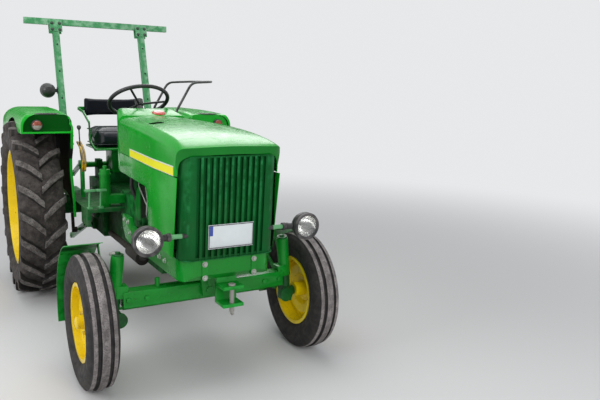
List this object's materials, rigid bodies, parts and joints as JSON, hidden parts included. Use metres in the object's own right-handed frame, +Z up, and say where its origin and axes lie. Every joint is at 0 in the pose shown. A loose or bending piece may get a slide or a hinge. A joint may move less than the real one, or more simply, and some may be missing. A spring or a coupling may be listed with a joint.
{
  "type": "vintage farm tractor",
  "caption": "Vintage green farm tractor with ribbed grille, open engine side, steered front axle, lugged rear tyres, box mudguards, roll bar and three-point linkage.",
  "frame": {"origin": "on the ground below the middle of the outline", "axes": "+X forwards, +Y to the driver's left, +Z up"},
  "size_m": [3.1338, 1.668, 2.15],
  "materials": {
    "green_paint": "gloss green paint, sun-worn",
    "green_cast": "green paint on castings, dusty",
    "green_light": "lighter green paint",
    "yellow_paint": "yellow paint",
    "dark_iron": "dark oily iron",
    "tyre_rubber": "worn dusty rubber",
    "black_vinyl": "black vinyl cover",
    "black_plastic": "black",
    "steel": "worn steel",
    "lamp_glass": "clear fluted glass",
    "marker_plastic": "orange and clear lens",
    "cap_red": "faded red paint",
    "plate_white": "blank white plate"
  },
  "bodies": {
    "chassis": {"front_frame": "green_paint", "front_axle": "green_cast", "front_hitch": "green_cast", "hitch_pin": "steel", "engine_block": "dark_iron", "cylinders": "dark_iron", "air_duct": "green_cast", "engine_fittings": "dark_iron", "exhaust": "dark_iron", "gearbox": "green_cast", "oil_reservoir": "green_cast", "rear_axle": "green_cast", "bonnet": "green_paint", "cowl": "green_paint", "fuel_cap": "cap_red", "side_panel_right": "green_paint", "side_panel_left": "green_paint", "grille": "green_cast", "number_plate": "plate_white", "headlamp_right": "black_plastic", "headlamp_left": "black_plastic", "lens_right": "lamp_glass", "lens_left": "lamp_glass", "fender_right": "green_paint", "fender_left": "green_paint", "marker_right": "marker_plastic", "marker_left": "marker_plastic", "footplate_right": "green_paint", "footplate_left": "green_paint", "pedals": "steel", "levers": "yellow_paint", "steering_column": "black_plastic", "seat_frame": "green_paint", "seat_cushion": "black_vinyl", "seat_backrest": "black_vinyl", "roll_bar": "green_light", "work_lamp": "black_plastic", "grab_rail": "black_plastic", "drawbar": "green_cast"},
    "steering_wheel": {"steering_wheel": "black_plastic"},
    "knuckle_left": {"knuckle_left": "green_cast", "mudguard_left": "green_cast"},
    "knuckle_right": {"knuckle_right": "green_cast", "mudguard_right": "green_cast"},
    "tie_rod": {"tie_rod": "steel"},
    "front_wheel_left": {"front_tyre_left": "tyre_rubber", "front_rim_left": "yellow_paint"},
    "front_wheel_right": {"front_tyre_right": "tyre_rubber", "front_rim_right": "yellow_paint"},
    "rear_wheel_left": {"rear_tyre_left": "tyre_rubber", "rear_rim_left": "yellow_paint"},
    "rear_wheel_right": {"rear_tyre_right": "tyre_rubber", "rear_rim_right": "yellow_paint"},
    "lift_arms": {"lift_arms": "green_cast"},
    "lower_link_left": {"lower_link_left": "green_cast"},
    "lower_link_right": {"lower_link_right": "green_cast"},
    "lift_rod_left": {"lift_rod_left": "steel"},
    "lift_rod_right": {"lift_rod_right": "steel"}
  },
  "joints": [
    {"name": "rear_wheel_left_spin", "type": "hinge", "parent": "chassis", "child": "rear_wheel_left", "pos_m": [-0.78061, 0.676, 0.668], "axis": [0, 1, 0], "continuous": true},
    {"name": "rear_wheel_right_spin", "type": "hinge", "parent": "chassis", "child": "rear_wheel_right", "pos_m": [-0.78061, -0.676, 0.668], "axis": [0, 1, 0], "continuous": true},
    {"name": "steer_left", "type": "hinge", "parent": "chassis", "child": "knuckle_left", "pos_m": [1.16939, 0.535, 0.3675], "axis": [0, -0.0924, 0.9957], "range_deg": [-45, 45]},
    {"name": "steer_right", "type": "hinge", "parent": "chassis", "child": "knuckle_right", "pos_m": [1.16939, -0.535, 0.3675], "axis": [0, 0.0924, 0.9957], "range_deg": [-45, 45]},
    {"name": "tie_rod_pivot", "type": "hinge", "parent": "knuckle_left", "child": "tie_rod", "pos_m": [1.01939, 0.53509, 0.3665], "axis": [0.0259, -0.0923, 0.9954], "range_deg": [-45, 45]},
    {"name": "steering_wheel_turn", "type": "hinge", "parent": "chassis", "child": "steering_wheel", "pos_m": [-0.12261, 0, 1.506], "axis": [-0.5299, 0, 0.848], "range_deg": [-495, 495]},
    {"name": "front_wheel_left_spin", "type": "hinge", "parent": "knuckle_left", "child": "front_wheel_left", "pos_m": [1.14939, 0.651, 0.3675], "axis": [0, 1, 0], "continuous": true},
    {"name": "front_wheel_right_spin", "type": "hinge", "parent": "knuckle_right", "child": "front_wheel_right", "pos_m": [1.14939, -0.651, 0.3675], "axis": [0, 1, 0], "continuous": true},
    {"name": "lift", "type": "hinge", "parent": "chassis", "child": "lift_arms", "pos_m": [-0.93061, 0, 0.96], "axis": [0, 1, 0], "range_deg": [0, 50]},
    {"name": "lower_link_left_pivot", "type": "hinge", "parent": "chassis", "child": "lower_link_left", "pos_m": [-0.88061, 0.241, 0.47], "axis": [0, 1, 0], "range_deg": [0, 50]},
    {"name": "lower_link_right_pivot", "type": "hinge", "parent": "chassis", "child": "lower_link_right", "pos_m": [-0.88061, -0.241, 0.47], "axis": [0, 1, 0], "range_deg": [0, 50]},
    {"name": "lift_rod_left_pivot", "type": "hinge", "parent": "lift_arms", "child": "lift_rod_left", "pos_m": [-1.23131, 0.276, 0.85055], "axis": [0, 1, 0], "range_deg": [-50, 0]},
    {"name": "lift_rod_right_pivot", "type": "hinge", "parent": "lift_arms", "child": "lift_rod_right", "pos_m": [-1.23131, -0.276, 0.85055], "axis": [0, 1, 0], "range_deg": [-50, 0]}
  ],
  "couplings": [
    {"joint": "steer_right", "follows": "steer_left", "ratio": 1},
    {"joint": "tie_rod_pivot", "follows": "steer_left", "ratio": -1},
    {"joint": "steering_wheel_turn", "follows": "steer_left", "ratio": 11},
    {"joint": "lower_link_left_pivot", "follows": "lift", "ratio": 1},
    {"joint": "lower_link_right_pivot", "follows": "lift", "ratio": 1},
    {"joint": "lift_rod_left_pivot", "follows": "lift", "ratio": -1},
    {"joint": "lift_rod_right_pivot", "follows": "lift", "ratio": -1}
  ]
}
